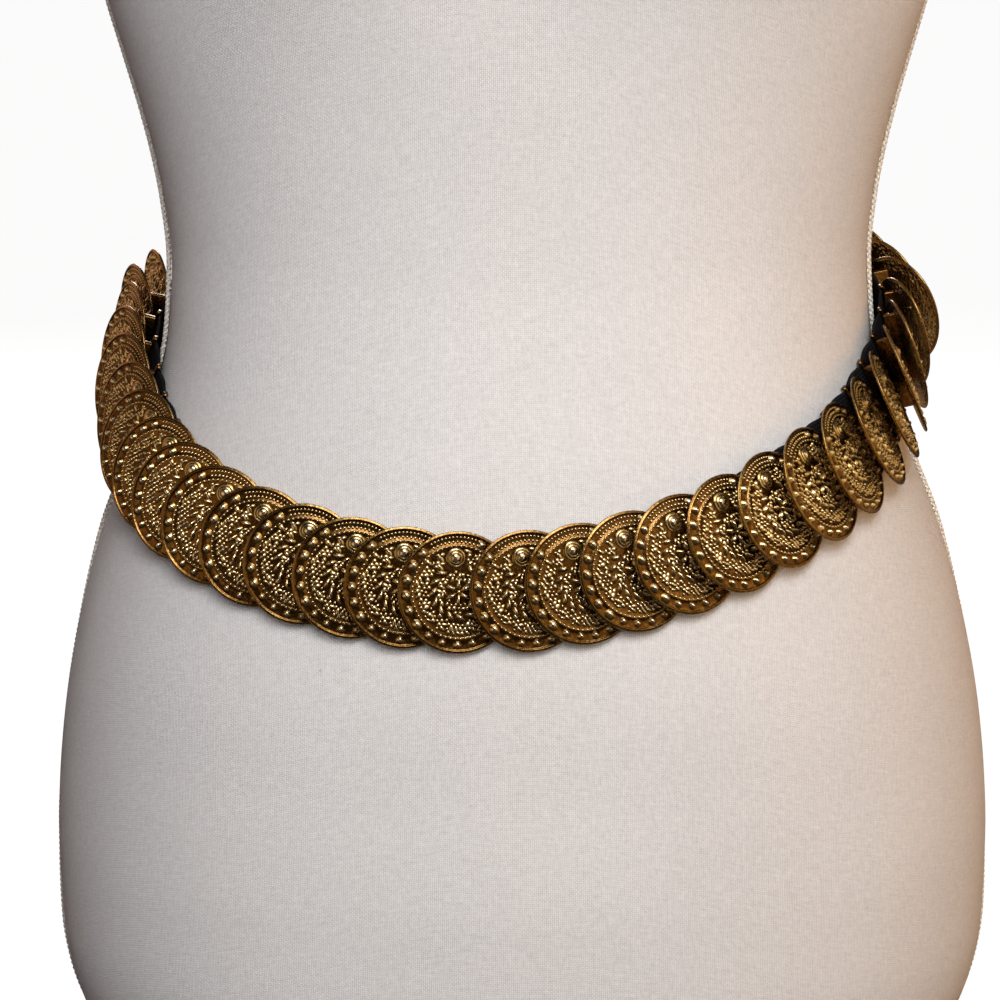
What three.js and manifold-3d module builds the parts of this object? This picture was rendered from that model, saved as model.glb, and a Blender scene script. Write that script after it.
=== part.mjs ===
// A coin belt of overlapping stamped discs on a wide black elastic, worn on a
// limbless dress form. Millimetres, +Z up, the front of the form faces -Y and
// +X is to the right of someone looking at that front.
import * as THREE from 'three';
import { mergeVertices } from 'three/addons/utils/BufferGeometryUtils.js';
import Module from 'manifold-3d';

const wasm = await Module();
wasm.setup();

// ---------------------------------------------------------------------------
// Driving dimensions
// ---------------------------------------------------------------------------

const SEAT_GAP = 0.3;

// Dress form: each row is a level section, a squared ellipse.
const FORM_SECTIONS = [
  { height: 0, halfWidth: 112, halfDepth: 84, back: 4, square: 2.2 },
  { height: 7, halfWidth: 131, halfDepth: 101, back: 4, square: 2.2 },
  { height: 17, halfWidth: 144, halfDepth: 112, back: 4, square: 2.2 },
  { height: 35, halfWidth: 158, halfDepth: 122, back: 4, square: 2.25 },
  { height: 63, halfWidth: 165.5, halfDepth: 127.5, back: 4, square: 2.25 },
  { height: 98, halfWidth: 166.8, halfDepth: 128.5, back: 3, square: 2.25 },
  { height: 135, halfWidth: 164.4, halfDepth: 127, back: 2, square: 2.25 },
  { height: 171, halfWidth: 158.3, halfDepth: 124, back: 0, square: 2.25 },
  { height: 207, halfWidth: 148.6, halfDepth: 118, back: 0, square: 2.25 },
  { height: 243, halfWidth: 133.8, halfDepth: 110.5, back: 0, square: 2.25 },
  { height: 275, halfWidth: 124.1, halfDepth: 102, back: 0, square: 2.25 },
  { height: 303, halfWidth: 122.2, halfDepth: 98, back: 0, square: 2.25 },
  { height: 325, halfWidth: 124.4, halfDepth: 99, back: 0, square: 2.25 },
  { height: 355, halfWidth: 131, halfDepth: 103, back: 0, square: 2.25 },
  { height: 391, halfWidth: 141.6, halfDepth: 109, back: 0, square: 2.3 },
  { height: 433, halfWidth: 152, halfDepth: 113, back: -1, square: 2.3 },
  { height: 473, halfWidth: 159, halfDepth: 114, back: -1, square: 2.35 },
  { height: 505, halfWidth: 164, halfDepth: 111, back: 0, square: 2.4 },
  { height: 545, halfWidth: 171, halfDepth: 103, back: 3, square: 2.4 },
  { height: 580, halfWidth: 176, halfDepth: 93, back: 6, square: 2.35 },
  { height: 608, halfWidth: 176, halfDepth: 83, back: 8, square: 2.3 },
  { height: 629, halfWidth: 169, halfDepth: 75, back: 9, square: 2.2 },
  { height: 645, halfWidth: 151, halfDepth: 69, back: 9, square: 2.1 },
  { height: 659, halfWidth: 122, halfDepth: 64, back: 8, square: 2 },
  { height: 672, halfWidth: 91, halfDepth: 59.5, back: 7, square: 2 },
  { height: 685, halfWidth: 68, halfDepth: 57, back: 6, square: 2 },
  { height: 700, halfWidth: 58.5, halfDepth: 55.5, back: 5, square: 2 },
  { height: 720, halfWidth: 55.5, halfDepth: 54, back: 4, square: 2 },
  { height: 738, halfWidth: 53.5, halfDepth: 52, back: 3, square: 2 },
  { height: 744, halfWidth: 50, halfDepth: 48.5, back: 3, square: 2 },
  { height: 747, halfWidth: 43, halfDepth: 41.5, back: 3, square: 2 },
];
const FORM_SIDES = 44;
const FORM_RING_STEP = 24;
const WAIST_HEIGHT = 303;
const BUST = { swell: 24, turn: 31, turnSpread: 23, height: 452, heightSpread: 50 };

// Belt: height of its middle line over the waist, as waves round the form.
// Turn 0 is the front, +90 the right side of the picture, 180 the back.
const BELT_MEAN_RISE = -40.8;
const BELT_WAVES = [
  { wave: 1, cosine: -51.4, sine: 5.4 },
  { wave: 2, cosine: -9.6, sine: 0.8 },
  { wave: 3, cosine: 3.3, sine: 1.9 },
  { wave: 4, cosine: -0.9, sine: -1.2 },
];
// Where the belt sags a little, behind each hip.
const BELT_SAGS = [
  { turn: -135, spread: 26, depth: 15 },
  { turn: 118, spread: 16, depth: 5 },
];

const DISC_COUNT = 46;
const DISC_RADIUS = 20;
const DISC_SIDES = 18;
const FIRST_BRACKET_OFFSET = 7.7;
const CLOSURE_EXTRA = 5.5;
// How far a disc is tilted out over the one before it, by its turn round the
// form. The discs stand more open past the hips. All in degrees.
const LOUVRES = [
  { turn: -180, tilt: 13 },
  { turn: -150, tilt: 22 },
  { turn: -125, tilt: 40 },
  { turn: -112, tilt: 44 },
  { turn: -105, tilt: 42 },
  { turn: -99, tilt: 35 },
  { turn: -92, tilt: 27 },
  { turn: -86, tilt: 22 },
  { turn: -79, tilt: 19 },
  { turn: -70, tilt: 16.5 },
  { turn: -60, tilt: 13.5 },
  { turn: -20, tilt: 10.8 },
  { turn: 20, tilt: 11.5 },
  { turn: 52, tilt: 18 },
  { turn: 77, tilt: 18 },
  { turn: 88, tilt: 14 },
  { turn: 98, tilt: 23 },
  { turn: 110, tilt: 22 },
  { turn: 140, tilt: 17 },
  { turn: 180, tilt: 13 },
];
// How far the middle of a disc lies behind its bracket.
const PLATE_BEHIND = 5.6;
// The tucked edge of a disc lies just clear of the elastic.
const TUCK_GAP = 0.7;
// Turned profile of a disc: radius and height over its middle plane.
const DISC_PROFILE = [
  { radius: 0, level: -0.5 },
  { radius: DISC_RADIUS, level: -0.5 },
  { radius: DISC_RADIUS, level: 0.55 },
  { radius: 18.2, level: 0.2 },
  { radius: 14.4, level: 0.95 },
  { radius: 0, level: 1.2 },
];

const BAND = { thickness: 1.2, halfWidth: 15.6, edgeSwell: 0.7, stepsPerDisc: 3 };
const BAND_SEAT = 0.5;

const BRACKET = { half: 1.7, foot: 0.55, tab: 0.7, tabGap: 0.6, tabReach: 0.3, embed: 0.4 };

// The clasp, along the belt from the first disc's bracket.
const LOOP = { from: -13.2, to: -4.7, half: 14, bar: 2, endBar: 1.4, thickness: 1.2, endGap: 0.8 };
const HOOK = { from: -7.4, to: -2.5, half: 10, sheet: 1 };
const CLASP_MIDDLE = (LOOP.from + HOOK.to) / 2;

const BRAID = { width: 3.4, height: 2.4, topWidth: 1.8 };
const BRAID_PATH = [
  { height: 7, turn: 86 },
  { height: 40, turn: 87.5 },
  { height: 75, turn: 90.5 },
  { height: 120, turn: 94 },
  { height: 170, turn: 95 },
  { height: 245, turn: 90 },
  { height: 300, turn: 88 },
  { height: 380, turn: 90 },
  { height: 505, turn: 94 },
];
const BRAID_RIDGE = { lift: 2.8, spread: 12, turn: 89 };

const PATH_SAMPLES = 720;
// The elastic is too stiff to follow every small change of the skin.
const EASE_PASSES = 60;

// ---------------------------------------------------------------------------
// Materials
// ---------------------------------------------------------------------------

const material = (color, roughness, metalness) =>
  new THREE.MeshStandardMaterial({ color, roughness, metalness });
const linen = () => material(0xdcd5cb, 0.95, 0);
const cream = () => material(0xe9e1d2, 0.9, 0);
const elastic = () => material(0x17151a, 0.85, 0);
const brass = () => material(0x8a6a2c, 0.38, 0.9);

// ---------------------------------------------------------------------------
// Small helpers
// ---------------------------------------------------------------------------

const radians = THREE.MathUtils.degToRad;

// A smooth curve through one column of a table that never overshoots a row.
function columnCurve(rows, along, column) {
  const x = rows.map((row) => row[along]);
  const y = rows.map((row) => row[column]);
  const last = x.length - 1;
  const step = x.slice(1).map((value, i) => value - x[i]);
  const rise = step.map((width, i) => (y[i + 1] - y[i]) / width);
  const slope = x.map((value, i) => {
    if (i === 0) return rise[0];
    if (i === last) return rise[last - 1];
    if (rise[i - 1] * rise[i] <= 0) return 0;
    const before = 2 * step[i] + step[i - 1];
    const after = step[i] + 2 * step[i - 1];
    return (before + after) / (before / rise[i - 1] + after / rise[i]);
  });
  return (value) => {
    let i = 0;
    while (i < last - 1 && value > x[i + 1]) i += 1;
    const t = (value - x[i]) / step[i];
    const back = 1 - t;
    return y[i] * (1 + 2 * t) * back * back
      + slope[i] * step[i] * t * back * back
      + y[i + 1] * t * t * (3 - 2 * t)
      - slope[i + 1] * step[i] * t * t * back;
  };
}

// A closed geometry from rings of equal size, capped flat at both ends.
function skinRings(rings) {
  const sides = rings[0].length;
  const positions = rings.flat().flatMap((p) => [p.x, p.y, p.z]);
  const index = [];
  for (let ring = 0; ring < rings.length - 1; ring += 1) {
    for (let i = 0; i < sides; i += 1) {
      const a = ring * sides + i;
      const b = ring * sides + ((i + 1) % sides);
      index.push(a, b, b + sides, a, b + sides, a + sides);
    }
  }
  const cap = (ring, flip) => {
    const first = ring * sides;
    for (let i = 1; i < sides - 1; i += 1) {
      if (flip) index.push(first, first + i + 1, first + i);
      else index.push(first, first + i, first + i + 1);
    }
  };
  cap(0, true);
  cap(rings.length - 1, false);
  const geometry = new THREE.BufferGeometry();
  geometry.setAttribute('position', new THREE.Float32BufferAttribute(positions, 3));
  geometry.setIndex(index);
  return geometry;
}

function toSolid(geometry) {
  const bare = geometry.clone();
  bare.deleteAttribute('normal');
  bare.deleteAttribute('uv');
  const merged = mergeVertices(bare, 1e-4);
  const triangles = [];
  for (let i = 0; i < merged.index.count; i += 3) {
    const [a, b, c] = [0, 1, 2].map((k) => merged.index.getX(i + k));
    if (a !== b && b !== c && c !== a) triangles.push(a, b, c);
  }
  return new wasm.Manifold(new wasm.Mesh({
    numProp: 3,
    vertProperties: new Float32Array(merged.attributes.position.array),
    triVerts: new Uint32Array(triangles),
  }));
}

function fromSolid(solid) {
  const mesh = solid.getMesh();
  const geometry = new THREE.BufferGeometry();
  geometry.setAttribute('position', new THREE.BufferAttribute(mesh.vertProperties, 3));
  geometry.setIndex(new THREE.BufferAttribute(mesh.triVerts, 1));
  return geometry;
}

function named(name, geometry, finish) {
  geometry.computeVertexNormals();
  const mesh = new THREE.Mesh(geometry, finish);
  mesh.name = name;
  return mesh;
}

// ---------------------------------------------------------------------------
// Dress form
// ---------------------------------------------------------------------------

const halfWidthAt = columnCurve(FORM_SECTIONS, 'height', 'halfWidth');
const halfDepthAt = columnCurve(FORM_SECTIONS, 'height', 'halfDepth');
const backAt = columnCurve(FORM_SECTIONS, 'height', 'back');
const squareAt = columnCurve(FORM_SECTIONS, 'height', 'square');

function bustSwell(turn, height) {
  const up = (height - BUST.height) / BUST.heightSpread;
  const side = [-BUST.turn, BUST.turn].map((centre) => {
    const away = THREE.MathUtils.euclideanModulo(turn - radians(centre) + Math.PI, 2 * Math.PI);
    const spread = (away - Math.PI) / radians(BUST.turnSpread);
    return Math.exp(-spread * spread);
  });
  return BUST.swell * (side[0] + side[1]) * Math.exp(-up * up);
}

// Distance of the form's skin from its own centre line at a level.
function formRadius(turn, height) {
  const square = squareAt(height);
  const across = Math.abs(Math.sin(turn) / halfWidthAt(height)) ** square;
  const deep = Math.abs(Math.cos(turn) / halfDepthAt(height)) ** square;
  return (across + deep) ** (-1 / square) + bustSwell(turn, height);
}

function formPoint(turn, height) {
  const radius = formRadius(turn, height);
  return new THREE.Vector3(
    radius * Math.sin(turn),
    -radius * Math.cos(turn) + backAt(height),
    height,
  );
}

function formNormal(turn, height) {
  const small = 0.002;
  const around = formPoint(turn + small, height).sub(formPoint(turn - small, height));
  const upward = formPoint(turn, height + 0.2).sub(formPoint(turn, height - 0.2));
  return around.cross(upward).normalize();
}

// How far a point lies outside the form's skin.
function formClearance(point) {
  const depth = point.y - backAt(point.z);
  const turn = Math.atan2(point.x, -depth);
  const outward = new THREE.Vector3(Math.sin(turn), -Math.cos(turn), 0);
  const gap = Math.hypot(point.x, depth) - formRadius(turn, point.z);
  return gap * outward.dot(formNormal(turn, point.z));
}

// Levels of the rings that the form is skinned over.
const formLevels = [FORM_SECTIONS[0].height];
for (let i = 1; i < FORM_SECTIONS.length; i += 1) {
  const from = FORM_SECTIONS[i - 1].height;
  const gap = FORM_SECTIONS[i].height - from;
  const steps = Math.ceil(gap / FORM_RING_STEP);
  for (let k = 1; k <= steps; k += 1) formLevels.push(from + (gap * k) / steps);
}

function makeForm() {
  const rings = formLevels.map((height) =>
    Array.from({ length: FORM_SIDES }, (_, i) =>
      formPoint((i / FORM_SIDES) * 2 * Math.PI, height)));
  return named('form_torso', skinRings(rings), linen());
}

// ---------------------------------------------------------------------------
// Braid sewn down each side seam of the form
// ---------------------------------------------------------------------------

const braidTurnAt = columnCurve(BRAID_PATH, 'height', 'turn');

function makeBraid(name, side) {
  const first = BRAID_PATH[0].height;
  const last = BRAID_PATH[BRAID_PATH.length - 1].height;
  const at = (height) => {
    const turn = side * radians(braidTurnAt(height));
    const normal = formNormal(turn, height);
    return { normal, point: formPoint(turn, height).addScaledVector(normal, SEAT_GAP) };
  };
  const half = BRAID.width / 2;
  const halfTop = BRAID.topWidth / 2;
  const outline = [[-half, 0], [half, 0], [halfTop, BRAID.height], [-halfTop, BRAID.height]];
  const levels = formLevels.filter((height) => height >= first && height <= last);
  const rings = levels.map((height) => {
    const { normal, point } = at(height);
    const along = at(Math.min(last, height + 1)).point.sub(at(Math.max(first, height - 1)).point);
    const across = along.normalize().cross(normal).normalize();
    return outline.map(([x, out]) =>
      point.clone().addScaledVector(across, -x).addScaledVector(normal, out));
  });
  return named(name, skinRings(rings), cream());
}

// ---------------------------------------------------------------------------
// The belt's line round the form
// ---------------------------------------------------------------------------

function beltHeight(turn) {
  const rise = BELT_WAVES.reduce(
    (sum, row) => sum + row.cosine * Math.cos(row.wave * turn) + row.sine * Math.sin(row.wave * turn),
    BELT_MEAN_RISE,
  );
  const sag = BELT_SAGS.reduce((sum, row) => {
    const away = (1 - Math.cos(turn - radians(row.turn))) / radians(row.spread) ** 2;
    return sum + row.depth * Math.exp(-away);
  }, 0);
  return WAIST_HEIGHT + rise - sag;
}

// Frame on the form's skin: along the belt, out from the form, up its width.
function skinFrame(turn) {
  const small = 0.004;
  const point = formPoint(turn, beltHeight(turn));
  const ahead = formPoint(turn + small, beltHeight(turn + small));
  const behind = formPoint(turn - small, beltHeight(turn - small));
  const along = ahead.sub(behind).normalize();
  const out = formNormal(turn, beltHeight(turn));
  const up = out.clone().cross(along).normalize();
  return { turn, point, along, out, up };
}

// The elastic lies straight across its width, so it clears the skin at its
// edges as well as its middle, and it rides over the braid at the side seams.
function bandLift(frame) {
  const base = BAND_SEAT + BAND.thickness / 2;
  const edge = BAND.halfWidth + BRACKET.tabGap + BRACKET.tab;
  const clear = [-1, -0.5, 0, 0.5, 1].map((part) => formClearance(frame.point.clone()
    .addScaledVector(frame.up, part * edge)
    .addScaledVector(frame.out, base)));
  const short = Math.max(0, base - Math.min(...clear));
  const away = (Math.abs(frame.turn) - radians(BRAID_RIDGE.turn)) / radians(BRAID_RIDGE.spread);
  return base + short + BRAID_RIDGE.lift * Math.exp(-away * away);
}

// Evens out a ring of numbers, each pass mixing a value with its neighbours.
function eased(values) {
  const count = values.length;
  let ring = values;
  for (let pass = 0; pass < EASE_PASSES; pass += 1) {
    ring = ring.map((value, i) =>
      (ring[(i + count - 1) % count] + 2 * value + ring[(i + 1) % count]) / 4);
  }
  return ring;
}

const skinFrames = Array.from({ length: PATH_SAMPLES }, (_, i) =>
  skinFrame(-Math.PI + (i / PATH_SAMPLES) * 2 * Math.PI));
const lifts = eased(skinFrames.map(bandLift));
const outs = ['x', 'y', 'z'].map((axis) => eased(skinFrames.map((frame) => frame.out[axis])));
const beltLine = [];
for (let i = 0; i <= PATH_SAMPLES; i += 1) {
  const at = i % PATH_SAMPLES;
  const out = new THREE.Vector3(outs[0][at], outs[1][at], outs[2][at]).normalize();
  const point = skinFrames[at].point.clone().addScaledVector(out, lifts[at]);
  const length = i === 0 ? 0 : beltLine[i - 1].length + point.distanceTo(beltLine[i - 1].point);
  beltLine.push({ point, out, length });
}
const BELT_LENGTH = beltLine[PATH_SAMPLES].length;
const FRONT_LENGTH = beltLine[PATH_SAMPLES / 2].length;
const PITCH = (BELT_LENGTH - CLOSURE_EXTRA) / DISC_COUNT;
const FIRST_BRACKET_AT = FRONT_LENGTH + FIRST_BRACKET_OFFSET;

function beltSample(distance, key) {
  const length = THREE.MathUtils.euclideanModulo(distance, BELT_LENGTH);
  let low = 0;
  let high = PATH_SAMPLES;
  while (high - low > 1) {
    const middle = (low + high) >> 1;
    if (beltLine[middle].length > length) high = middle;
    else low = middle;
  }
  const part = (length - beltLine[low].length) / (beltLine[high].length - beltLine[low].length);
  return beltLine[low][key].clone().lerp(beltLine[high][key], part);
}

// Frame of the elastic at a distance along it: its matrix takes local x along
// the belt, y up its width and z out from the form.
function beltFrame(distance) {
  const reach = 1.5;
  const point = beltSample(distance, 'point');
  const x = beltSample(distance + reach, 'point').sub(beltSample(distance - reach, 'point')).normalize();
  const z = beltSample(distance, 'out');
  z.addScaledVector(x, -z.dot(x)).normalize();
  const y = z.clone().cross(x);
  return new THREE.Matrix4().makeBasis(x, y, z).setPosition(point);
}

function place(mesh, frame) {
  frame.decompose(mesh.position, mesh.quaternion, mesh.scale);
  return mesh;
}

// ---------------------------------------------------------------------------
// Elastic band
// ---------------------------------------------------------------------------

const BAND_START = FIRST_BRACKET_AT - BRACKET.half;
const BAND_END = FIRST_BRACKET_AT + BELT_LENGTH + LOOP.from - LOOP.endGap;

function makeBand() {
  const steps = DISC_COUNT * BAND.stepsPerDisc;
  const rings = [];
  for (let i = 0; i <= steps; i += 1) {
    const distance = BAND_START + ((BAND_END - BAND_START) * i) / steps;
    const phase = ((distance - FIRST_BRACKET_AT) / PITCH) * 2 * Math.PI;
    const half = BAND.halfWidth + BAND.edgeSwell * (0.5 - 0.5 * Math.cos(phase));
    const deep = BAND.thickness / 2;
    const frame = beltFrame(distance);
    rings.push([[-half, -deep], [half, -deep], [half, deep], [-half, deep]].map(([y, z]) =>
      new THREE.Vector3(0, y, z).applyMatrix4(frame)));
  }
  return named('elastic_band', skinRings(rings), elastic());
}

// ---------------------------------------------------------------------------
// Discs, each with a bracket at its back that holds the elastic's two edges
// ---------------------------------------------------------------------------

// The least height of a disc's middle over the elastic at which its tilted
// back clears the elastic, which curves away in front of its bracket.
function discRise(distance, louvre) {
  const local = beltFrame(distance).invert();
  const face = BAND.thickness / 2;
  const half = BAND.halfWidth + BAND.edgeSwell;
  const edge = DISC_RADIUS * Math.cos(louvre);
  let rise = 0;
  for (let ahead = 0; ahead <= edge; ahead += edge / 12) {
    const frame = beltFrame(distance + ahead - PLATE_BEHIND);
    for (const part of [-1, -0.75, -0.5, -0.25, 0, 0.25, 0.5, 0.75, 1]) {
      const point = new THREE.Vector3(0, part * half, face).applyMatrix4(frame).applyMatrix4(local);
      const along = point.x + PLATE_BEHIND;
      const inside = (along / edge) ** 2 + (point.y / DISC_RADIUS) ** 2 <= 1.03;
      const need = point.z + along * Math.tan(louvre) - DISC_PROFILE[0].level / Math.cos(louvre);
      if (inside) rise = Math.max(rise, need + TUCK_GAP);
    }
  }
  return rise;
}

function discPlate(louvre, rise) {
  const profile = DISC_PROFILE.map((row) => new THREE.Vector2(row.radius, row.level));
  const plate = new THREE.LatheGeometry(profile, DISC_SIDES);
  plate.rotateX(Math.PI / 2);
  plate.rotateY(louvre);
  plate.translate(-PLATE_BEHIND, 0, rise);
  return plate;
}

function discBracket(louvre, rise) {
  const foot = BAND.thickness / 2 + BRACKET.foot;
  const tabIn = BAND.halfWidth + BRACKET.tabGap;
  const tabOut = tabIn + BRACKET.tab;
  const inPlate = (DISC_PROFILE[0].level + BRACKET.embed) / Math.cos(louvre);
  const outerAt = (x) => rise - (x + PLATE_BEHIND) * Math.tan(louvre) + inPlate;
  const face = new THREE.Shape([
    new THREE.Vector2(-tabOut, -BRACKET.tabReach),
    new THREE.Vector2(-tabIn, -BRACKET.tabReach),
    new THREE.Vector2(-tabIn, foot),
    new THREE.Vector2(tabIn, foot),
    new THREE.Vector2(tabIn, -BRACKET.tabReach),
    new THREE.Vector2(tabOut, -BRACKET.tabReach),
    new THREE.Vector2(tabOut, rise),
    new THREE.Vector2(-tabOut, rise),
  ]);
  const bracket = new THREE.ExtrudeGeometry(face, {
    depth: 2 * BRACKET.half,
    bevelEnabled: false,
  });
  // Local z of the extrusion becomes the belt's x, its x the belt's y.
  bracket.applyMatrix4(new THREE.Matrix4().makeBasis(
    new THREE.Vector3(0, 1, 0), new THREE.Vector3(0, 0, 1), new THREE.Vector3(1, 0, 0)));
  bracket.translate(-BRACKET.half, 0, 0);
  // The outer side follows the back of the tilted plate.
  const positions = bracket.attributes.position;
  for (let i = 0; i < positions.count; i += 1) {
    if (positions.getZ(i) > rise - 0.01) positions.setZ(i, outerAt(positions.getX(i)));
  }
  return bracket;
}

const louvreAt = columnCurve(LOUVRES, 'turn', 'tilt');

function makeDisc(order) {
  const distance = FIRST_BRACKET_AT + order * PITCH;
  const middle = beltSample(distance, 'point');
  const turn = Math.atan2(middle.x, -middle.y);
  const louvre = radians(louvreAt(THREE.MathUtils.radToDeg(turn)));
  const rise = discRise(distance, louvre);
  const solid = toSolid(discPlate(louvre, rise)).add(toSolid(discBracket(louvre, rise)));
  const name = `disc_${String(order + 1).padStart(2, '0')}`;
  return place(named(name, fromSolid(solid), brass()), beltFrame(distance));
}

// ---------------------------------------------------------------------------
// Clasp under the first disc: a loop on one end of the elastic and a hook
// ---------------------------------------------------------------------------

function rectangle(fromX, toX, half) {
  return [[fromX, -half], [toX, -half], [toX, half], [fromX, half]]
    .map(([x, y]) => new THREE.Vector2(x, y));
}

function makeLoop() {
  const plate = new THREE.Shape(rectangle(LOOP.from, LOOP.to, LOOP.half));
  plate.holes.push(new THREE.Path(
    rectangle(LOOP.from + LOOP.bar, LOOP.to - LOOP.endBar, LOOP.half - LOOP.bar)));
  const geometry = new THREE.ExtrudeGeometry(plate, { depth: LOOP.thickness, bevelEnabled: false });
  geometry.translate(-CLASP_MIDDLE, 0, -LOOP.thickness / 2);
  return place(named('clasp_loop', geometry, brass()), beltFrame(FIRST_BRACKET_AT + CLASP_MIDDLE));
}

// The hook is a bent strip: a tongue down through the loop, a bridge over the
// loop's end bar, and a leg down to the elastic's own end.
function makeHook() {
  const low = -BAND.thickness / 2;
  const bridge = LOOP.thickness / 2 + SEAT_GAP;
  const side = new THREE.Shape([
    new THREE.Vector2(HOOK.from, low),
    new THREE.Vector2(HOOK.from + HOOK.sheet, low),
    new THREE.Vector2(HOOK.from + HOOK.sheet, bridge),
    new THREE.Vector2(HOOK.to - HOOK.sheet, bridge),
    new THREE.Vector2(HOOK.to - HOOK.sheet, low),
    new THREE.Vector2(HOOK.to, low),
    new THREE.Vector2(HOOK.to, bridge + HOOK.sheet),
    new THREE.Vector2(HOOK.from, bridge + HOOK.sheet),
  ]);
  const geometry = new THREE.ExtrudeGeometry(side, { depth: 2 * HOOK.half, bevelEnabled: false });
  geometry.rotateX(Math.PI / 2);
  geometry.translate(-CLASP_MIDDLE, HOOK.half, 0);
  return place(named('clasp_hook', geometry, brass()), beltFrame(FIRST_BRACKET_AT + CLASP_MIDDLE));
}

// ---------------------------------------------------------------------------
// Assembly, standing with the middle of its base at the origin
// ---------------------------------------------------------------------------

const form = new THREE.Group();
form.name = 'dress_form';
form.add(makeForm());
form.add(makeBraid('seam_braid_right', 1));
form.add(makeBraid('seam_braid_left', -1));

const belt = new THREE.Group();
belt.name = 'belt';
belt.add(makeBand());
belt.add(makeLoop());
belt.add(makeHook());
for (let order = 0; order < DISC_COUNT; order += 1) belt.add(makeDisc(order));

const part = new THREE.Group();
part.name = 'coin_belt_on_form';
part.add(form, belt);
part.updateMatrixWorld(true);
const box = new THREE.Box3().setFromObject(part, true);
const middle = box.getCenter(new THREE.Vector3());
part.position.set(-middle.x, -middle.y, -box.min.z);
part.updateMatrixWorld(true);

export default part;
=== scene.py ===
import math

import bpy
import numpy as np
from mathutils import Matrix, Vector


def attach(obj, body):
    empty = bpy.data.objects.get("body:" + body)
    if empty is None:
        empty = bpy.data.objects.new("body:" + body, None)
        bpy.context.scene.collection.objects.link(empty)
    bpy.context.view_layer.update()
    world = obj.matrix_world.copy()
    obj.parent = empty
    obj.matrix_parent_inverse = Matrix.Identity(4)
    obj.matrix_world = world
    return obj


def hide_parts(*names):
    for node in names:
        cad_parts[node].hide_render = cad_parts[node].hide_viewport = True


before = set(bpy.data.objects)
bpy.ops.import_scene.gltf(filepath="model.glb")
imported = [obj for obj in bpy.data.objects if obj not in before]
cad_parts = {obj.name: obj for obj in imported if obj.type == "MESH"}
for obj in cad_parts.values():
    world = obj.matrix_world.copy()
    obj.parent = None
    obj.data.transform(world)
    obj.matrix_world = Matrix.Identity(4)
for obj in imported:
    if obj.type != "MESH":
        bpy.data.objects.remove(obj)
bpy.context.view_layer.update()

MM = 0.001

# ---------------------------------------------------------------------------
# Sizes, in millimetres unless a name says otherwise
# ---------------------------------------------------------------------------

DISC_COUNT = 46
DISC_NAMES = [f"disc_{number:02d}" for number in range(1, DISC_COUNT + 1)]

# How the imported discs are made: the plate's back under its middle, and the
# ends of the bracket's sides under the elastic's middle.
PLATE_BACK_LEVEL = -0.5
TAB_REACH = 0.3
# Facets within this angle are one flat, and the bracket's sides lean this far
# towards the plate's outward direction at most, as a cosine.
SAME_FACE_DEG = 0.3
SIDE_SLANT = 0.6

FORM = {"sides": 176, "ring_step": 5.5, "weave_pitch": 0.65, "back_shift": 1.3}
CAP_SHARES = [0.02, 0.3, 0.65, 0.9, 0.975]
# A small turn, in radians, that keeps a ring's front corner first.
FRONT_TURN = 0.01

# Turned ground of a stamped disc and its hollow back, both from the edge inwards.
# Each row's last number is wear with painted shade: low in the hollows and round the beads, high on
# the rims and ridges.
GROUND = [
    {"radius": 20.0, "level": -0.05, "wear_and_shade": 0.12},
    {"radius": 19.95, "level": 0.22, "wear_and_shade": 0.22},
    {"radius": 19.75, "level": 0.42, "wear_and_shade": 0.2},
    {"radius": 19.5, "level": 0.42, "wear_and_shade": 0.12},
    {"radius": 19.35, "level": 0.62, "wear_and_shade": 0.28},
    {"radius": 19.1, "level": 0.62, "wear_and_shade": 0.2},
    {"radius": 18.95, "level": 0.2, "wear_and_shade": 0.06},
    {"radius": 18.6, "level": 0.08, "wear_and_shade": 0.08},
    {"radius": 17.1, "level": 0.14, "wear_and_shade": 0.06},
    {"radius": 15.85, "level": 0.22, "wear_and_shade": 0.06},
    {"radius": 15.65, "level": 0.5, "wear_and_shade": 0.2},
    {"radius": 15.4, "level": 0.58, "wear_and_shade": 0.3},
    {"radius": 14.9, "level": 0.58, "wear_and_shade": 0.25},
    {"radius": 14.6, "level": 0.42, "wear_and_shade": 0.06},
    {"radius": 12.0, "level": 0.66, "wear_and_shade": 0.05},
    {"radius": 9.0, "level": 0.88, "wear_and_shade": 0.05},
    {"radius": 6.0, "level": 1.03, "wear_and_shade": 0.05},
    {"radius": 1.6, "level": 1.12, "wear_and_shade": 0.06},
]
BACK = [
    {"radius": 19.8, "level": -0.4, "wear_and_shade": 0.4},
    {"radius": 19.3, "level": -0.5, "wear_and_shade": 0.4},
    {"radius": 18.7, "level": -0.32, "wear_and_shade": 0.2},
    {"radius": 15.6, "level": -0.3, "wear_and_shade": 0.2},
    {"radius": 15.1, "level": -0.44, "wear_and_shade": 0.45},
    {"radius": 14.6, "level": -0.28, "wear_and_shade": 0.2},
    {"radius": 7.0, "level": -0.2, "wear_and_shade": 0.2},
    {"radius": 2.0, "level": -0.15, "wear_and_shade": 0.2},
]
GROUND_SIDES = 72
# The back is specked, and brightened with painted light, from its middle out to where its rim
# begins.
BACK_ROWS_SPECKED_AND_LIT = len(BACK) - 2

# A pressed dome: how deep its foot lies in the ground, how steep its flank is,
# and how it runs from a dark foot, patina with painted shade, to a top bright with wear.
DOME = {"sink": 0.04, "flank": 1.25, "wear_shade_power": 0.6, "foot_wear_and_shade": 0.06}

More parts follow.
